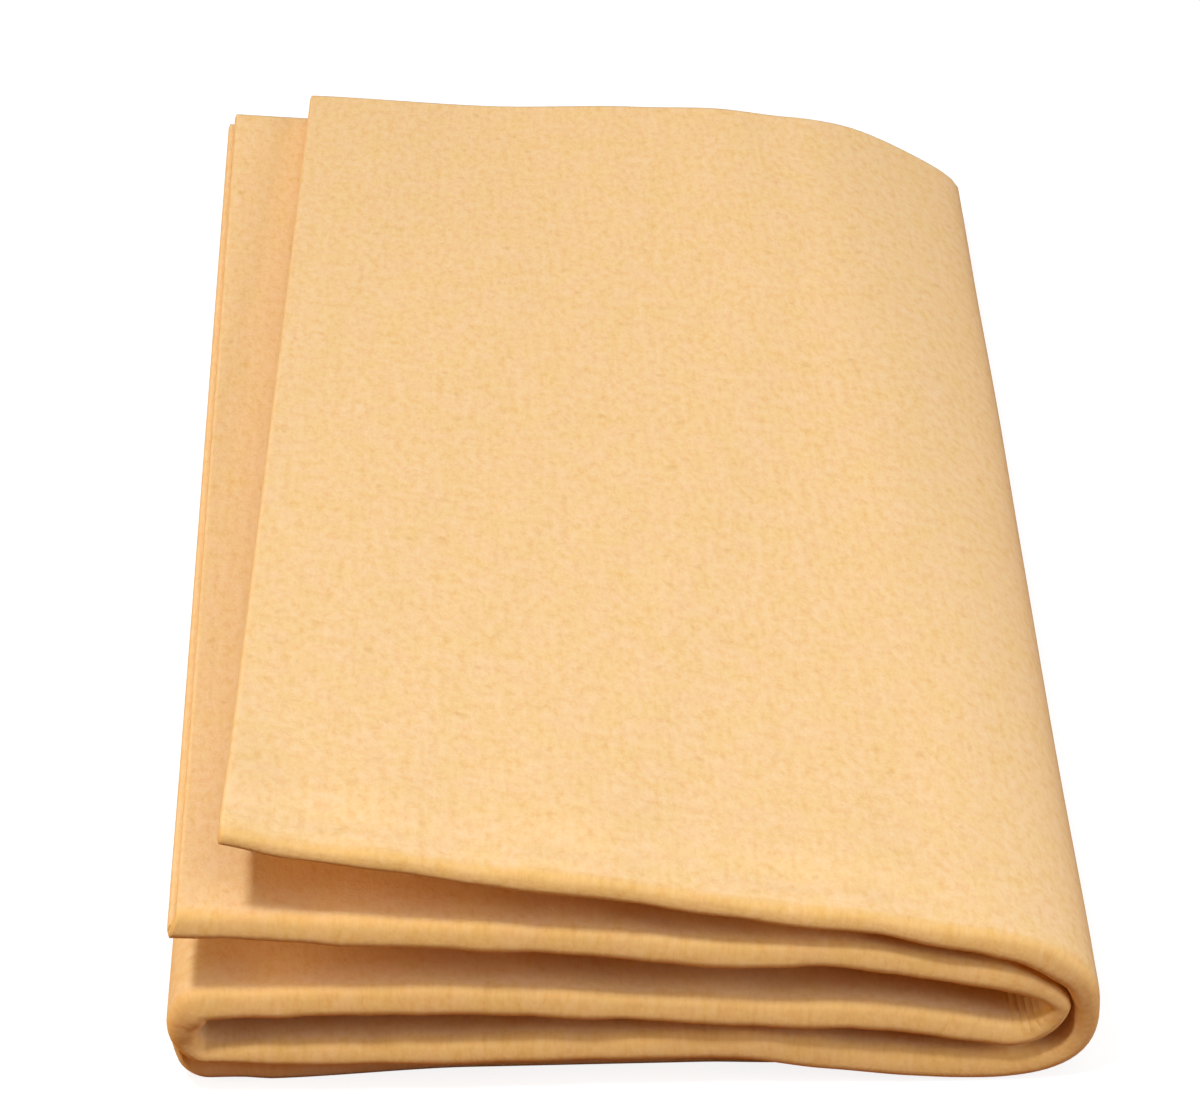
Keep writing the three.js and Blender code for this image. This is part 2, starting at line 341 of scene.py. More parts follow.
class ClothFinish(PropertyGroup):
    """Colours and nap of the felt."""

    buff: StringProperty(name="Buff", description="Main colour of the felt", default="F9D69F")
    pale: StringProperty(name="Pale", description="Raised fibre ends", default="FFE6BE")
    deep: StringProperty(name="Deep", description="Hollows between the fibres", default="EBB874")
    rosy: StringProperty(name="Rosy", description="Fibres that took the dye warmer", default="FBD3A6")
    golden: StringProperty(name="Golden", description="Fibres that took the dye yellower", default="F6D08C")
    fleck: StringProperty(name="Fleck", description="Sparse darker fibres", default="DFA964")
    # Painted shade: the crease colour multiplies the felt darker and warmer along the front crease bands
    crease: StringProperty(
        name="Crease",
        description="Tint of the felt where a crease opens its nap",
        default="F7EDCF",
    )
    tuft_width: FloatProperty(
        name="Nap width",
        description="Width of a tuft of nap, along the strip",
        default=1.2 * MM,
        unit="LENGTH",
    )
    tuft_length: FloatProperty(
        name="Nap length",
        description="Length of a tuft of nap, across the strip",
        default=1.8 * MM,
        unit="LENGTH",
    )
    nap_height: FloatProperty(
        name="Nap height",
        description="Depth of the hollows between tufts",
        default=0.3 * MM,
        unit="LENGTH",
    )


class StageSettings(PropertyGroup):
    """Floor, lamps and camera."""

    camera_place: FloatVectorProperty(
        name="Camera",
        description="Where the camera stands",
        default=(-0.0164, -0.4922, 0.4235),
        subtype="TRANSLATION",
    )
    camera_pitch: FloatProperty(
        name="Pitch",
        description="How far the camera looks down",
        default=np.radians(40.0),
        subtype="ANGLE",
    )
    camera_heading: FloatProperty(
        name="Heading",
        description="How far the camera looks to the right of straight ahead",
        default=np.radians(1.7),
        subtype="ANGLE",
    )
    lens: FloatProperty(name="Lens", description="Focal length in mm on a 36 mm frame", default=127.5)
    key_power: FloatProperty(name="Key", description="Power of the key lamp", default=5.3, unit="POWER")
    overhead_power: FloatProperty(
        name="Overhead",
        description="Power of the large soft lamp overhead",
        default=5.9,
        unit="POWER",
    )
    side_power: FloatProperty(
        name="Side",
        description="Power of the soft lamp on the right",
        default=5.8,
        unit="POWER",
    )
    reflector_power: FloatProperty(
        name="Reflector",
        description="Power of the warm reflector that stands low on the left",
        default=6.3,
        unit="POWER",
    )
    reflector_colour: StringProperty(name="Reflector colour", description="Its colour", default="FFE6B8")
    fill_colour: StringProperty(
        name="Fill colour",
        description="Colour of the even light all round",
        default="FFB85C",
    )
    fill_strength: FloatProperty(name="Fill", description="Strength of the even light", default=0.07)


def mix(first, last, share):
    return first + (last - first) * share


def smooth(share):
    """An S-shaped step from 0 to 1."""
    share = np.clip(share, 0, 1)
    return share * share * (3 - 2 * share)


def soft_line(places, knots):
    """A line through knots that is level at each of them, and stays level beyond the last ones."""
    knot_places = np.array([place for place, _ in knots], float)
    heights = np.array([height for _, height in knots], float)
    index = np.clip(np.searchsorted(knot_places, places) - 1, 0, len(knots) - 2)
    share = (places - knot_places[index]) / (knot_places[index + 1] - knot_places[index])
    return mix(heights[index], heights[index + 1], smooth(share))


def linear(hex_colour):
    """Linear colour of an sRGB hex value."""
    values = [int(hex_colour[i : i + 2], 16) / 255 for i in (0, 2, 4)]
    return (*(v / 12.92 if v <= 0.04045 else ((v + 0.055) / 1.055) ** 2.4 for v in values), 1.0)


def unit(vector):
    return vector / np.linalg.norm(vector)


def leaf_curve(start, end, bow):
    """A leaf from one end to the other, with its bow, as the control points of a curve."""
    middle = (start + end) / 2 + np.array((0, 2 * bow))
    return np.array((start, middle, end))


def quarter_bend(leaf_end, direction, crease, shoulder_fullness, crease_fullness):
    """A quarter turn from the end of a leaf, along its direction, to the upright middle of a fold."""
    reach = abs(crease[0] - leaf_end[0]) * shoulder_fullness
    rise = (crease[1] - leaf_end[1]) * crease_fullness
    return np.array((leaf_end, leaf_end + direction * reach, crease - np.array((0, rise)), crease))


def sunken(bend, depth):
    """A quarter turn that sinks in between its ends."""
    first, leaf_handle, crease_handle, last = bend
    chord = unit(last - first)
    sink = np.array((chord[1], -chord[0])) * depth
    middle = (leaf_handle + crease_handle) / 2 + sink
    first_handle = mix(first, leaf_handle, SUNKEN_HANDLES)
    last_handle = mix(last, crease_handle, SUNKEN_HANDLES)
    return np.array((first, first_handle, middle, last_handle, last))


def along_curve(controls, steps):
    """Points of a curve, by mixing its control points in pairs until one is left."""
    rows = [np.repeat(control[None], len(steps), 0) for control in controls]
    while len(rows) > 1:
        rows = [mix(a, b, steps) for a, b in zip(rows, rows[1:])]
    return rows[0]


def curve_points(curves, shares):
    """Points and directions at even shares of the length of curves that follow each other."""
    steps = np.linspace(0, 1, CURVE_SAMPLES + 1)[:, None]
    points = np.vstack([along_curve(curve, steps) for curve in curves])
    slopes = [(len(curve) - 1) * np.diff(curve, axis=0) for curve in curves]
    directions = np.vstack([along_curve(slope, steps) for slope in slopes])
    length = np.concatenate(([0], np.cumsum(np.linalg.norm(np.diff(points, axis=0), axis=1))))
    at = shares * length[-1]
    place = np.column_stack([np.interp(at, length, points[:, axis]) for axis in (0, 1)])
    heading = np.column_stack([np.interp(at, length, directions[:, axis]) for axis in (0, 1)])
    return place, heading / np.linalg.norm(heading, axis=1)[:, None], length[-1]


def leaf_thickness(sizes):
    """Thickness of the two plies of a leaf and the air between them."""
    return (2 * sizes.ply_thickness + sizes.ply_air) / MM


def fold_path(front, sizes):
    """The middle line of the doubled cloth at one station, as curves that follow the strip from end to end.

    Front is 0 at the cut edges and 1 at the front crease.
    """
    leaf = leaf_thickness(sizes)
    right = sizes.folded_width / MM / 2
    left = -right

    def side_air(corners):
        left_air = mix(corners.back_left, corners.front_left, front)
        return left_air, mix(corners.back_right, corners.front_right, front)

    def at(ends):
        return mix(ends.back, ends.front, front)

    third, second, top = map(side_air, (THIRD_LEAF_AIR, SECOND_LEAF_AIR, TOP_LEAF_AIR))
    bottom_right = np.array((right - at(BOTTOM_SHOULDER_INSET), leaf / 2))
    bottom_left = np.array((left + LEFT_BEND_INSET, leaf / 2 + BOTTOM_LEAF_LIFT * front))
    third_left = np.array((left + LEFT_BEND_INSET, bottom_left[1] + leaf + third[0]))
    third_right = np.array((right - at(THIRD_SHOULDER_INSET), leaf / 2 + leaf + third[1]))
    second_edge = np.array((left + SECOND_EDGE_INSET, third_left[1] + leaf + second[0]))
    second_right = np.array((right - at(SECOND_SHOULDER_INSET), third_right[1] + leaf + second[1]))
    second_leaf = leaf_curve(second_right, second_edge, SECOND_LEAF_BOW * front)

    def over_second(x, air):
        share = (x - second_right[0]) / (second_edge[0] - second_right[0])
        height = along_curve(second_leaf, np.array([[share]]))[0, 1]
        return np.array((x, height + leaf + air))

    top_edge = over_second(left + at(TOP_EDGE_INSET), top[0])
    top_right = over_second(right - at(TOP_SHOULDER_INSET), top[1])

    outer_x = right - leaf / 2
    outer_crease = np.array((outer_x, mix(bottom_right[1], top_right[1], at(OUTER_FOLD_BELLY))))
    inner_x = outer_x - leaf - at(NEST_CLEARANCE)
    inner_crease = np.array((inner_x, mix(third_right[1], second_right[1], at(INNER_FOLD_BELLY))))
    left_crease = np.array((left + leaf / 2, mix(bottom_left[1], third_left[1], at(LEFT_FOLD_BELLY))))

    top_leaf = leaf_curve(top_edge, top_right, 0)
    bottom_leaf = leaf_curve(bottom_right, bottom_left, 0)
    third_leaf = leaf_curve(third_left, third_right, THIRD_LEAF_BOW * front)
    rightwards = np.array((1.0, 0.0))

    def left_bend(leaf_end, direction):
        return quarter_bend(leaf_end, direction, left_crease, LEFT_FOLD_FULLNESS, LEFT_FOLD_FULLNESS)

    def outer_bend(leaf_end, direction):
        fullness = at(OUTER_FOLD_FULLNESS)
        return quarter_bend(leaf_end, direction, outer_crease, fullness, fullness)

    def inner_bend(leaf_end, direction, fullness):
        return quarter_bend(leaf_end, direction, inner_crease, at(fullness), at(INNER_CREASE_FULLNESS))

    outer_upper = outer_bend(top_right, unit(top_leaf[-1] - top_leaf[-2]))
    left_upper = left_bend(third_left, unit(third_leaf[0] - third_leaf[1]))
    inner_lower = inner_bend(third_right, unit(third_leaf[-1] - third_leaf[-2]), INNER_LOWER_FULLNESS)
    inner_upper = inner_bend(second_right, unit(second_leaf[0] - second_leaf[1]), INNER_UPPER_FULLNESS)
    return {
        "top_leaf": (top_leaf,),
        "outer_fold_upper": (sunken(outer_upper, OUTER_FOLD_SINK * (1 - front)),),
        "outer_fold_lower": (outer_bend(bottom_right, rightwards)[::-1],),
        "bottom_leaf": (bottom_leaf,),
        "left_fold": (left_bend(bottom_left, -rightwards), left_upper[::-1]),
        "third_leaf": (third_leaf,),
        "inner_fold_lower": (inner_lower,),
        "inner_fold_upper": (inner_upper[::-1],),
        "second_leaf": (second_leaf,),
    }


def column_shares(name, length):
    """Where the columns of a stretch stand along it, closer together at a cut edge."""
    columns = STRETCH_COLUMNS[name]
    if name not in FREE_LEAVES:
        return np.linspace(0, 1, columns + 1)
    first = FREE_EDGE_STEP / length
    shares = np.concatenate(([0, first], np.linspace(FREE_EDGE_WIDENING * first, 1, columns - 1)))
    return shares if name == FREE_LEAVES[0] else 1 - shares[::-1]


def own_columns(name, columns):
    """The columns of a stretch, without the last one where the next stretch starts there."""
    return columns if name == FREE_LEAVES[-1] else columns[:-1]


def strip_layout(sizes):
    """Where the stretches of the strip and their columns lie in the flat sheet."""
    lengths = {}
    for name, curves in fold_path(FLAT_STATION, sizes).items():
        lengths[name] = curve_points(curves, np.array((0.0, 1.0)))[2]
    starts = dict(zip(lengths, np.concatenate(([0], np.cumsum(list(lengths.values()))))))
    places = {name: column_shares(name, length) for name, length in lengths.items()}
    flat_u, columns = [], {}
    count = 0
    for name, start in starts.items():
        along = start + places[name] * lengths[name]
        flat_u.append(own_columns(name, along))
        columns[name] = (count, count + len(along) - 1)
        count += len(along) - 1
    return Layout(lengths, starts, places, np.concatenate(flat_u), columns)


def along_strip(layout, knots):
    """A soft line along the whole strip through knots: (stretch, share of it, value)."""
    placed = [(layout.starts[name] + share * layout.lengths[name], value) for name, share, value in knots]
    return soft_line(layout.flat_u, placed)


def crease_thicknesses(layout):
    """Thickness of the front crease along the strip, with its lumps."""
    knots = [(name, *knot) for name in layout.starts for knot in CREASE_THICKNESS[name]]
    flat_u = layout.flat_u
    lumps = np.zeros(len(flat_u))
    for height, length, phase in CREASE_LUMPS:
        lumps += height * np.sin(2 * np.pi * flat_u / length + phase)
    from_edge = np.minimum(flat_u, flat_u[-1] - flat_u)
    return along_strip(layout, knots) + lumps * smooth(from_edge / EVEN_EDGE)


def pleat_heights(layout):
    """Height of the pleats inside the inner fold along the strip."""
    in_fold = layout.flat_u - layout.starts["inner_fold_lower"]
    gathered = smooth(in_fold / PLEAT_WIDTH) * smooth((PLEAT_LENGTH - in_fold) / PLEAT_WIDTH)
    return PLEAT_HEIGHT * gathered * np.sin(2 * np.pi * in_fold / PLEAT_WIDTH)


def tuck_depths(layout, x):
    """How far the outside ply is tucked in under the front crease along the strip."""
    first, last = layout.columns["bottom_leaf"]
    tuck = np.full(len(x), TUCK[-1][1], float)
    tuck[first:last] = soft_line(x[first:last], TUCK)
    tuck[last:] = TUCK[0][1]
    return tuck


def row_distances(depth):
    """Distances of the rows behind the front crease, close together at the crease and at the cut edge."""
    even = np.linspace(NEAR_ROWS[-1], depth - LAST_ROWS[0], EVEN_ROWS)[1:]
    return np.concatenate((NEAR_ROWS, even, depth - np.array(LAST_ROWS[1:])))


def dent_depth(x, behind, dents):
    """How far the dents of a leaf sink it at one distance behind the crease."""
    depth = np.zeros(len(x))
    for dent in dents:
        away = ((x - dent.x) / dent.half_width) ** 2 + ((behind - dent.behind) / dent.half_length) ** 2
        depth += dent.depth * np.exp(-away)
    return depth


def leaf_rise(name, x, behind, depth):
    """How far the waves and dents of a stretch lift it at one distance behind the crease."""
    rise = np.zeros(len(x))
    if name in CREASE_WAVES:
        rise += (1 - smooth(behind / WAVE_REACH)) * soft_line(x, CREASE_WAVES[name])
        rise -= dent_depth(x, behind, DENTS[name])
    if name == "top_leaf":
        rise += (1 - smooth((depth - behind) / BACK_WAVE_REACH)) * soft_line(x, BACK_WAVE)
    return rise


def stretch_at(name, curves, shares, behind, depth, sizes):
    """A stretch of the strip at one distance behind the front crease, for each of its columns.

    It has the middle line between the two plies where they lie together, the direction out of the outer
    fold, how far the ply on the outside hangs down, and how much of a thicker crease grows inwards.
    """
    middle, heading, _ = curve_points(curves, shares)
    normal = np.column_stack((-heading[:, 1], heading[:, 0]))
    rise = leaf_rise(name, middle[:, 0], behind, depth)
    parting = np.zeros(len(shares))
    inwards = np.full(len(shares), float(name in OUTSIDE_STRETCHES))
    lift = BOTTOM_LEAF_LIFT * (1 - behind / depth)
    if name == "bottom_leaf":
        from_outer = middle[0, 0] - middle[:, 0]
        from_left = middle[:, 0] - middle[-1, 0]
        upper_rise = lift * smooth(from_outer / LIFT_TAPER)
        lower_rise = HEEL_SHARE * lift * (1 - smooth(from_left / HEEL_LENGTH))
        rise *= smooth(from_outer / LIFT_TAPER)
        parting = np.maximum(upper_rise + rise - lower_rise, 0)
        middle[:, 1] = sizes.ply_thickness / MM + sizes.ply_air / MM / 2 + upper_rise
        normal = np.tile((0.0, -1.0), (len(shares), 1))
    if name == "left_fold":
        closing = smooth((shares - PARTING_HOLD) / (PARTING_END - PARTING_HOLD))
        parting = (1 - HEEL_SHARE) * lift * (1 - closing)
        inwards = 1 - smooth((shares - LEFT_FOLD_TURN) / (1 - LEFT_FOLD_TURN))
    middle[:, 1] += rise
    return Stretch(middle, normal, parting, inwards)


def strip_at(behind, depth, sizes, layout, crease_thickness):
    """The whole strip at one distance behind the front crease, for each column.

    It has the middle line, the direction out of the outer fold, half the distance between the middles of the
    plies, how far the ply on the outside hangs down, and the thickness of a ply.
    """
    ply, air = sizes.ply_thickness / MM, sizes.ply_air / MM
    stretches = []
    for name, curves in fold_path(1 - behind / depth, sizes).items():
        stretch = stretch_at(name, curves, layout.places[name], behind, depth, sizes)
        stretches.append([own_columns(name, values) for values in stretch])
    middle, normal, parting, inwards = map(np.concatenate, zip(*stretches))

    crease_share = 1 - smooth(behind / CREASE_REACH)
    thin_ply = np.minimum(ply, THIN_PLY_SHARE * crease_thickness)
    ply_here = mix(ply, thin_ply, crease_share)
    half_gap = mix((air + ply) / 2, (crease_thickness - thin_ply) / 2, crease_share)
    extra = np.maximum(half_gap + ply_here / 2 - ply - air / 2, 0) * inwards
    return Strip(middle - normal * extra[:, None], normal, half_gap, parting, ply_here)


def strip_row(strip, offset, y, step, drop=0):
    """A row of points at one offset from the middle line of the strip, moved to the right and down."""
    at = strip.middle + strip.normal * offset[:, None]
    return np.column_stack((at[:, 0] + step, np.broadcast_to(y, len(at)), at[:, 1] - drop))


def ripple_heights(middle, flat_u, flat_v, back):
    """Height of the slow ripples at each point of the sheet."""
    ripple = np.zeros(middle.shape[:2])
    for height, along, across, phase in RIPPLES:
        ripple += height * np.sin(2 * np.pi * (flat_u[None] / along + flat_v[:, None] / across) + phase)
    low, high = RIPPLE_RISE
    off_floor = smooth((middle[:, :, 2] - low) / (high - low))
    off_edge = smooth((back - middle[:, :, 1]) / RIPPLE_BACK)
    return ripple * (off_floor * off_edge)


def whole_sheet(sizes):
    """Both faces of the whole sheet as grids of points, with the flat place of each point and the columns.

    Rows run from the back of one ply, round the front crease, to the back of the other. Columns run along
    the strip, from the top leaf's free edge to the second leaf's.
    """
    leaf = leaf_thickness(sizes)
    back = sizes.folded_depth / MM / 2
    crease_y = -back + leaf / 2
    depth = back - crease_y

    layout = strip_layout(sizes)
    flat_u = layout.flat_u
    crease_thickness = crease_thicknesses(layout)
    crease_droop = along_strip(layout, CREASE_DROOP)
    recess = along_strip(layout, BACK_RECESS)
    pleats = pleat_heights(layout)
    edge_step = sizes.second_edge_step / MM / 2 * smooth(1 - (flat_u[-1] - flat_u) / SECOND_EDGE_REACH)
    front_strip = strip_at(0, depth, sizes, layout, crease_thickness)
    tuck = tuck_depths(layout, front_strip.middle[:, 0])

    outer_rows, inner_rows, plies = [], [], []
    for behind in row_distances(depth):
        strip = strip_at(behind, depth, sizes, layout, crease_thickness)
        y = crease_y + behind - recess * behind / depth
        tucked = y + tuck * (1 - smooth(behind / TUCK_REACH))
        outer_gap = strip.half_gap + pleats * (1 - smooth(behind / PLEAT_REACH))
        outer_rows.append(strip_row(strip, outer_gap, tucked, -edge_step, strip.parting))
        inner_rows.append(strip_row(strip, -strip.half_gap, y, edge_step))
        plies.append(strip.ply)

    # The tucked ply comes up to the crease, and the crease turns round to the other ply
    parted = smooth(front_strip.parting / BOTTOM_LEAF_LIFT)
    crease_rows = []
    for share in np.linspace(0, 1, TUCK_ROWS + 1)[1:]:
        drop = front_strip.parting * (1 - smooth(share / TUCK_DROP))
        held = smooth((share - TUCK_HOLD) / (1 - TUCK_HOLD))
        y = crease_y + tuck * (1 - mix(share, held, parted))
        crease_rows.append(strip_row(front_strip, front_strip.half_gap + pleats, y, -edge_step, drop))
    reach = leaf / 2 - front_strip.ply / 2
    for turn in np.linspace(np.pi / 2, -np.pi / 2, CREASE_ROWS + 1)[1:-1]:
        side = np.sign(np.sin(turn)) * np.abs(np.sin(turn)) ** CREASE_SQUARENESS
        droop = crease_droop * front_strip.half_gap * (1 - side * front_strip.normal[:, 1])
        y = crease_y - (reach + droop) * np.cos(turn) ** CREASE_SQUARENESS
        offset = front_strip.half_gap * side + pleats * max(side, 0)
        crease_rows.append(strip_row(front_strip, offset, y, -side * edge_step))

    middle = np.array(outer_rows[::-1] + crease_rows + inner_rows)
    ply_rows = np.array(plies[::-1] + [front_strip.ply] * len(crease_rows) + plies)
    steps = np.linalg.norm(np.diff(middle, axis=0), axis=2).mean(axis=1)
    flat_v = np.concatenate(([0], np.cumsum(steps)))
    normal = np.cross(np.gradient(middle, axis=0), np.gradient(middle, axis=1))
    normal /= np.linalg.norm(normal, axis=2)[..., None]
    middle = middle + normal * ripple_heights(middle, flat_u, flat_v, back)[..., None]
    half_ply = normal * ply_rows[..., None] / 2
    flat = np.stack(np.broadcast_arrays(flat_u[None], flat_v[:, None]), axis=2)
    crease = flat_v[len(outer_rows) + TUCK_ROWS + CREASE_ROWS // 2 - 1]
    return Sheet(middle + half_ply, middle - half_ply, flat, layout.columns, crease)


def quads(first_line, second_line):
    """Quads between two rows of vertices."""
    return list(zip(first_line[:-1], first_line[1:], second_line[1:], second_line[:-1]))


def sharpen(mesh, seams):
    """Shades the borders where a piece meets the next one of the sheet as sharp edges."""
    ends = np.zeros(2 * len(mesh.edges), int)
    mesh.edges.foreach_get("vertices", ends)
    sharp = np.zeros(len(mesh.edges), bool)
    for seam in seams:
        sharp |= np.isin(ends, seam).reshape(-1, 2).all(axis=1)
    mesh.attributes.new("sharp_edge", "BOOLEAN", "EDGE").data.foreach_set("value", sharp)


def add_maps(mesh, flat, crease):
    """Stores the flat place of each vertex, and how much painted shade the front crease gets there."""
    corners = np.zeros(len(mesh.loops), int)
    mesh.loops.foreach_get("vertex_index", corners)
    # Painted shade: full at the middle of the front crease, and fading out on both plies behind it
    from_crease = np.abs(flat[:, 1] - crease)
    painted_shade = 1 - smooth((from_crease - PAINTED_SHADE_CORE) / (PAINTED_SHADE_END - PAINTED_SHADE_CORE))
    mesh.attributes.new(PAINTED_SHADE_MAP, "FLOAT", "POINT").data.foreach_set("value", painted_shade)
    flat_map = mesh.uv_layers.new(name=FLAT_MAP)
    flat_map.data.foreach_set("uv", (flat[corners] * MM).ravel())


def sheet_mesh(name, sheet, first, last, cut_first, cut_last, edge_round):
    """A closed mesh of the sheet from one column to another, with rounded cut edges."""
    outer = sheet.outer[:, first : last + 1]
    inner = sheet.inner[:, first : last + 1]
    flat = sheet.flat[:, first : last + 1]
    rows, columns = outer.shape[:2]
    points = [outer.reshape(-1, 3), inner.reshape(-1, 3)]
    places = [flat.reshape(-1, 2), flat.reshape(-1, 2)]
    outer_index = np.arange(rows * columns).reshape(rows, columns)
    inner_index = outer_index + rows * columns
    count = 2 * rows * columns
    faces, seam_vertices = [], []

    def add_rim(outer_line, inner_line, outer_back, inner_back, bulge):
        """Vertices half way through the thickness along a border, pushed outwards."""
        nonlocal count
        half_way = (outer_line + inner_line) / 2
        outwards = half_way - (outer_back + inner_back) / 2
        outwards /= np.linalg.norm(outwards, axis=1)[:, None]
        points.append(half_way + outwards * bulge)
        count += len(half_way)
        return np.arange(count - len(half_way), count)

    for row in range(rows - 1):
        faces += quads(outer_index[row + 1], outer_index[row])
        faces += quads(inner_index[row], inner_index[row + 1])
    back_rims = []
    for row, beside in ((0, 1), (-1, -2)):
        rim = add_rim(outer[row], inner[row], outer[beside], inner[beside], edge_round)
        places.append(flat[row])
        back_rims.append(rim)
        a, b = (outer_index[row], inner_index[row]) if row == 0 else (inner_index[row], outer_index[row])
        faces += quads(a, rim) + quads(rim, b)
    for column, beside, cut in ((0, 1, cut_first), (-1, -2, cut_last)):
        bulge = edge_round if cut else 0
        rim = add_rim(outer[:, column], inner[:, column], outer[:, beside], inner[:, beside], bulge)
        places.append(flat[:, column])
        a, b = outer_index[:, column], inner_index[:, column]
        if not cut:
            seam_vertices.append(np.concatenate((a, b)))
        if column == 0:
            a, b = b, a
        faces += quads(a, rim) + quads(rim, b)
        first_corner, last_corner = back_rims[0][column], back_rims[1][column]
        faces += [(a[0], rim[0], first_corner), (rim[0], b[0], first_corner)]
        faces += [(rim[-1], a[-1], last_corner), (b[-1], rim[-1], last_corner)]

    mesh = bpy.data.meshes.new(name)
    mesh.from_pydata(np.vstack(points) * MM, [], [[int(i) for i in face] for face in faces])
    mesh.polygons.foreach_set("use_smooth", np.ones(len(mesh.polygons), bool))
    sharpen(mesh, seam_vertices)
    add_maps(mesh, np.vstack(places), sheet.crease)
    mesh.update()
    return mesh


def add_node(tree, kind, inputs=(), **settings):
    """Adds a node with its settings, and sets or links its inputs."""
    node = tree.nodes.new(kind)
    for name, value in settings.items():
        setattr(node, name, value)
    for socket, value in dict(inputs).items():
        if isinstance(value, NodeSocket):
            tree.links.new(value, node.inputs[socket])
        else:
            node.inputs[socket].default_value = value
    return node


def seen_share(tree):
    """1 for a ray from the camera, a gloss or a glass, and 0 for one that lights a matt surface."""
    path = add_node(tree, "ShaderNodeLightPath").outputs
    share = path["Is Camera Ray"]
    for ray in ("Is Glossy Ray", "Is Transmission Ray"):
        either = add_node(tree, "ShaderNodeMath", {0: share, 1: path[ray]}, operation="MAXIMUM")
        share = either.outputs["Value"]
    return share


def needle_felt(finish):
    """Needle-punched viscose felt.

    Thousands of barbed needles drag fibres through the web, which leaves a matt nap of short tufts that lie
    across the strip, with pale fibre ends, warmer hollows between them and a few darker fibres. Along the
    front crease the colour is multiplied darker and warmer, which is painted shade on the crease bands. The
    tufts are drawn about twice as coarse as real ones, because those would be too fine to show.
    """
    name = "needle_punched_viscose_felt"
    material = bpy.data.materials.get(name)
    if material:
        return material
    material = bpy.data.materials.new(name)
    material.use_nodes = True
    tree = material.node_tree
    tree.nodes.clear()
    flat = add_node(tree, "ShaderNodeUVMap", uv_map=FLAT_MAP).outputs["UV"]

    def noise(size, detail, roughness, vector=flat):
        inputs = {"Vector": vector, "Scale": 1 / size, "Detail": detail, "Roughness": roughness}
        return add_node(tree, "ShaderNodeTexNoise", inputs).outputs["Fac"]

    def tone(amount, *stops):
        node = add_node(tree, "ShaderNodeValToRGB", {"Fac": amount})
        elements = node.color_ramp.elements
        for element, (place, colour) in zip((elements[0], elements[1]), (stops[0], stops[-1])):
            element.position = place
            element.color = linear(colour)
        for place, colour in stops[1:-1]:
            elements.new(place).color = linear(colour)
        return node.outputs["Color"]

    def blended(share, first, second, how="MIX"):
        inputs = {MIX_SHARE: share, MIX_FIRST: first, MIX_SECOND: second}
        return add_node(tree, "ShaderNodeMix", inputs, data_type="RGBA", blend_type=how).outputs[MIX_RESULT]

    def stretched(width, length):
        scale = (1 / width, 1 / length, 1)
        return add_node(tree, "ShaderNodeMapping", {"Vector": flat, "Scale": scale}).outputs["Vector"]

    nap = noise(1.0, 4.0, 0.68, stretched(finish.tuft_width, finish.tuft_length))
    streaks = noise(1.0, 2.0, 0.5, stretched(STREAK_WIDTH, STREAK_LENGTH))
    dye = noise(DYE_PATCH, 4.0, 0.6)
    fibres = noise(FIBRE_WIDTH, 2.0, 0.6)
    fleck_noise = noise(FLECK_SPACING, 1.0, 0.5)
    flecks = add_node(
        tree,
        "ShaderNodeMapRange",
        {"Value": fleck_noise, "From Min": 0.66, "From Max": 0.85, "To Max": 0.45},
    ).outputs["Result"]

    nap_stops = ((0.3, finish.deep), (0.5, finish.buff), (0.7, finish.pale))
    napped = blended(STREAK_SHARE, tone(nap, *nap_stops), tone(streaks, *nap_stops))
    dyed = blended(DYE_SHARE, napped, tone(dye, (0.35, finish.golden), (0.65, finish.rosy)))
    flecked = blended(flecks, dyed, linear(finish.fleck))
    # Painted shade: along the front crease the colour is multiplied by the crease tint, darker and warmer
    painted_shade = add_node(tree, "ShaderNodeAttribute", attribute_name=PAINTED_SHADE_MAP).outputs["Fac"]
    colour = blended(painted_shade, flecked, linear(finish.crease), "MULTIPLY")
    height = add_node(
        tree,
        "ShaderNodeMath",
        {0: fibres, 1: FIBRE_HEIGHT, 2: nap},
        operation="MULTIPLY_ADD",
    )
    bump = add_node(
        tree,
        "ShaderNodeBump",
        {"Strength": 0.4, "Distance": finish.nap_height, "Height": height.outputs["Value"]},
    )
    roughness = add_node(tree, "ShaderNodeMapRange", {"Value": nap, "To Min": 0.86, "To Max": 1.0})
    shader = add_node(
        tree,
        "ShaderNodeBsdfPrincipled",
        {
            "Base Color": colour,
            "Roughness": roughness.outputs["Result"],
            "Normal": bump.outputs["Normal"],
            "Specular IOR Level": 0.05,
            "Sheen Weight": 0.2,
            "Sheen Roughness": 0.6,
            "Sheen Tint": linear(SHEEN_COLOUR),
        },
    )
    add_node(tree, "ShaderNodeOutputMaterial", {"Surface": shader.outputs["BSDF"]})
    return material


def add_piece(context, name, first, last, cut_first=False, cut_last=False):
    """One piece of the sheet, from the start of a stretch to the end of another, in its felt."""
    sizes = context.scene.chamois_sizes
    sheet = whole_sheet(sizes)
    first_column, last_column = sheet.columns[first][0], sheet.columns[last][1]
    mesh = sheet_mesh(name, sheet, first_column, last_column, cut_first, cut_last, sizes.edge_round / MM)
    piece = bpy.data.objects.new(name, mesh)
    context.scene.collection.objects.link(piece)
    mesh.materials.append(needle_felt(context.scene.chamois_finish))
    stretches = list(STRETCH_COLUMNS)
    for stretch in stretches[stretches.index(first) : stretches.index(last) + 1]:
        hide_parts(*(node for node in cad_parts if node.startswith(stretch + "_")))
    return piece


class CHAMOIS_OT_base(Operator):
    """The bottom leaf, the left fold and the third leaf, which stay where they lie"""

    bl_idname = "chamois.base"
    bl_label = "Folded base"

    def execute(self, context):
        piece = add_piece(context, "folded_base_cloth", "bottom_leaf", "third_leaf")
        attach(piece, "folded_base")
        return {"FINISHED"}


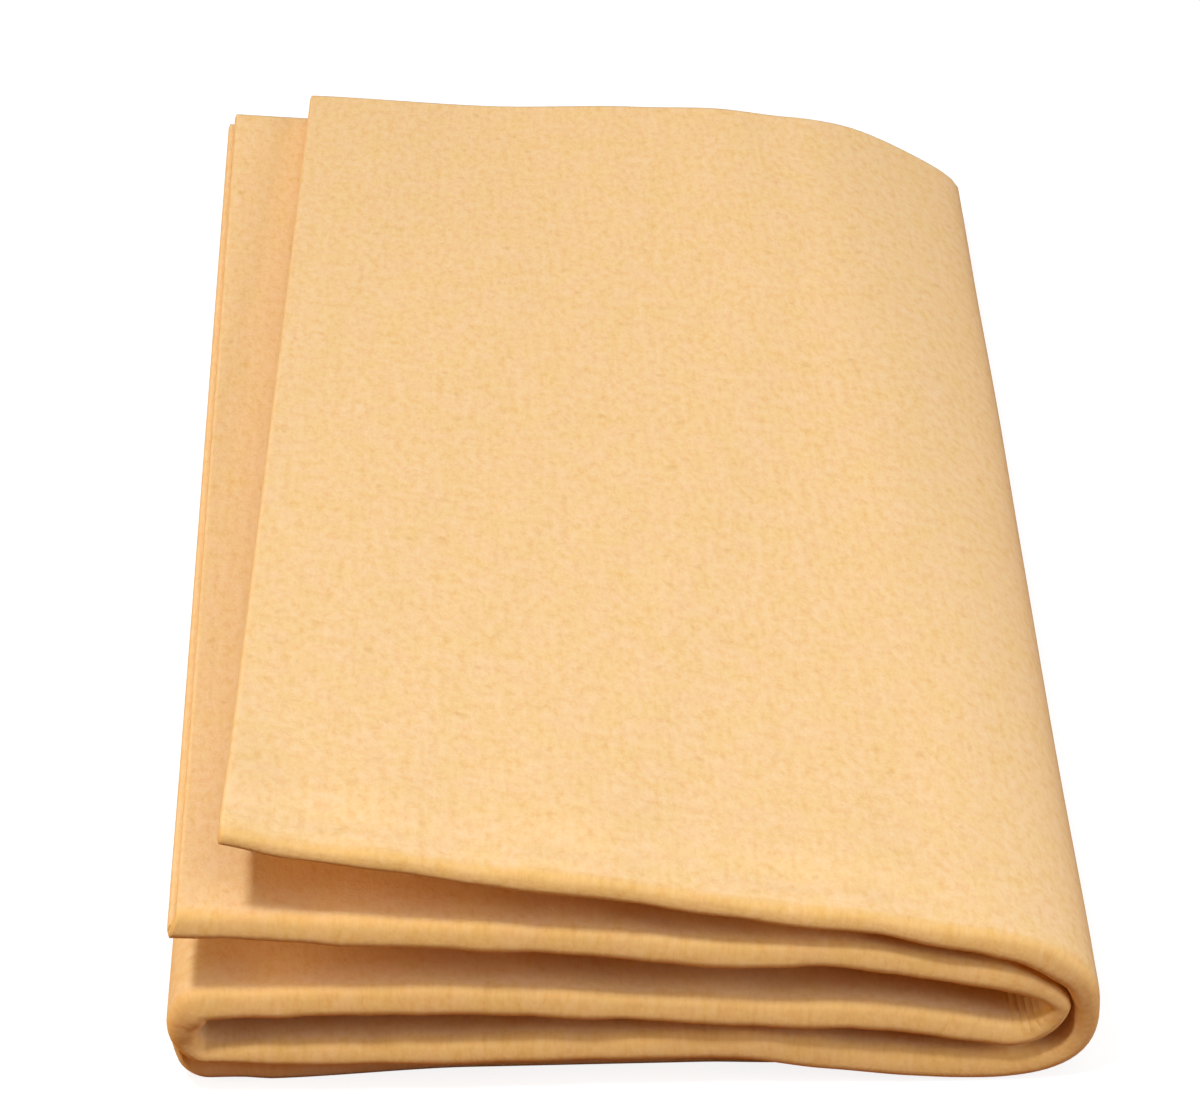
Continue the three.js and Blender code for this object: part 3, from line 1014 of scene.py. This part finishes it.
class CHAMOIS_OT_second_leaf(Operator):
    """The second leaf and the inner fold that it opens at"""

    bl_idname = "chamois.second_leaf"
    bl_label = "Second leaf"

    def execute(self, context):
        piece = add_piece(context, "second_leaf_cloth", "inner_fold_lower", "second_leaf", cut_last=True)
        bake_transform(piece)
        return {"FINISHED"}


class CHAMOIS_OT_top_leaf(Operator):
    """The top leaf and the outer fold that it opens at"""

    bl_idname = "chamois.top_leaf"
    bl_label = "Top leaf"

    def execute(self, context):
        piece = add_piece(context, "top_leaf_cloth", "top_leaf", "outer_fold_lower", cut_first=True)
        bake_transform(piece)
        return {"FINISHED"}


def add_lamp(scene, name, lamp, power, colour="FFFFFF"):
    """A soft lamp that hangs in one direction from the cloth and shines at it."""
    light = bpy.data.lights.new(name, "AREA")
    light.shape = lamp.shape
    light.size = lamp.size
    light.energy = power
    light.color = linear(colour)[:3]
    holder = bpy.data.objects.new(name, light)
    direction = Vector(lamp.towards).normalized()
    holder.location = direction * lamp.distance
    holder.rotation_euler = direction.to_track_quat("Z", "Y").to_euler()
    scene.collection.objects.link(holder)


def white_paper():
    """White seamless paper: even and matt, bright to the camera, and it keeps the cloth's shadow.

    What it throws back on the cloth is toned down to gold, as under the folds in the photograph.
    """
    material = bpy.data.materials.new("white_seamless_paper")
    material.use_nodes = True
    tree = material.node_tree
    tree.nodes.clear()
    paper = add_node(tree, "ShaderNodeBsdfDiffuse", {"Color": linear(PAPER_COLOUR)})
    glow = add_node(tree, "ShaderNodeEmission", {"Color": (1, 1, 1, 1), "Strength": PAPER_GLOW})
    lit = add_node(tree, "ShaderNodeAddShader", {0: paper.outputs["BSDF"], 1: glow.outputs["Emission"]})
    unseen = add_node(tree, "ShaderNodeBsdfDiffuse", {"Color": linear(PAPER_BOUNCE)})
    seen = add_node(
        tree,
        "ShaderNodeMixShader",
        {0: seen_share(tree), 1: unseen.outputs["BSDF"], 2: lit.outputs["Shader"]},
    )
    add_node(tree, "ShaderNodeOutputMaterial", {"Surface": seen.outputs["Shader"]})
    return material


def add_floor(scene):
    """A wide sheet of paper under the cloth."""
    half, height = FLOOR_HALF, -FLOOR_DROP
    mesh = bpy.data.meshes.new("floor")
    mesh.from_pydata(
        [(-half, -half, height), (half, -half, height), (half, half, height), (-half, half, height)],
        [],
        [(0, 1, 2, 3)],
    )
    floor = bpy.data.objects.new("floor", mesh)
    scene.collection.objects.link(floor)
    mesh.materials.append(white_paper())


def add_room(scene, stage):
    """A room that looks white and throws a little warm light on the cloth from all round."""
    world = bpy.data.worlds.new("white_room")
    scene.world = world
    world.use_nodes = True
    tree = world.node_tree
    tree.nodes.clear()
    fill_inputs = {"Color": linear(stage.fill_colour), "Strength": stage.fill_strength}
    fill = add_node(tree, "ShaderNodeBackground", fill_inputs).outputs["Background"]
    white_inputs = {"Color": (1, 1, 1, 1), "Strength": 1.0}
    white = add_node(tree, "ShaderNodeBackground", white_inputs).outputs["Background"]
    seen = add_node(tree, "ShaderNodeMixShader", {0: seen_share(tree), 1: fill, 2: white})
    add_node(tree, "ShaderNodeOutputWorld", {"Surface": seen.outputs["Shader"]})


def add_camera(scene, stage):
    """The camera that took the photograph, as far as its edges tell."""
    camera_data = bpy.data.cameras.new("camera")
    camera_data.sensor_fit = "HORIZONTAL"
    camera_data.sensor_width = SENSOR_WIDTH
    camera_data.lens = stage.lens
    camera = bpy.data.objects.new("camera", camera_data)
    camera.location = stage.camera_place
    camera.rotation_euler = Euler((np.pi / 2 - stage.camera_pitch, 0, -stage.camera_heading))
    scene.collection.objects.link(camera)
    scene.camera = camera


class CHAMOIS_OT_stage(Operator):
    """The floor, the lamps and the camera"""

    bl_idname = "chamois.stage"
    bl_label = "Stage"

    def execute(self, context):
        scene = context.scene
        stage = scene.chamois_stage
        scene.view_settings.view_transform = "Standard"
        add_floor(scene)
        add_lamp(scene, "key", KEY_LAMP, stage.key_power)
        add_lamp(scene, "overhead", OVERHEAD_LAMP, stage.overhead_power)
        add_lamp(scene, "side", SIDE_LAMP, stage.side_power)
        add_lamp(scene, "reflector", REFLECTOR, stage.reflector_power, stage.reflector_colour)
        add_room(scene, stage)
        add_camera(scene, stage)
        return {"FINISHED"}


class CHAMOIS_PT_panel(Panel):
    """Sizes and colours of the cloth, and the buttons that build it"""

    bl_idname = "CHAMOIS_PT_panel"
    bl_label = "Folded chamois"
    bl_space_type = "VIEW_3D"
    bl_region_type = "UI"
    bl_category = "Chamois"

    def draw(self, context):
        scene = context.scene
        for group in (scene.chamois_sizes, scene.chamois_finish, scene.chamois_stage):
            box = self.layout.box()
            for name in group.__annotations__:
                box.prop(group, name)
        for operator in OPERATORS:
            self.layout.operator(operator.bl_idname)


OPERATORS = (CHAMOIS_OT_stage, CHAMOIS_OT_base, CHAMOIS_OT_second_leaf, CHAMOIS_OT_top_leaf)
CLASSES = (ClothSizes, ClothFinish, StageSettings, *OPERATORS, CHAMOIS_PT_panel)


def register():
    for cls in CLASSES:
        bpy.utils.register_class(cls)
    bpy.types.Scene.chamois_sizes = PointerProperty(type=ClothSizes)
    bpy.types.Scene.chamois_finish = PointerProperty(type=ClothFinish)
    bpy.types.Scene.chamois_stage = PointerProperty(type=StageSettings)


def unregister():
    del bpy.types.Scene.chamois_stage
    del bpy.types.Scene.chamois_finish
    del bpy.types.Scene.chamois_sizes
    for cls in reversed(CLASSES):
        bpy.utils.unregister_class(cls)


def main():
    register()
    bpy.ops.chamois.stage()
    bpy.ops.chamois.base()
    bpy.ops.chamois.second_leaf()
    bpy.ops.chamois.top_leaf()


if __name__ == "__main__":
    main()
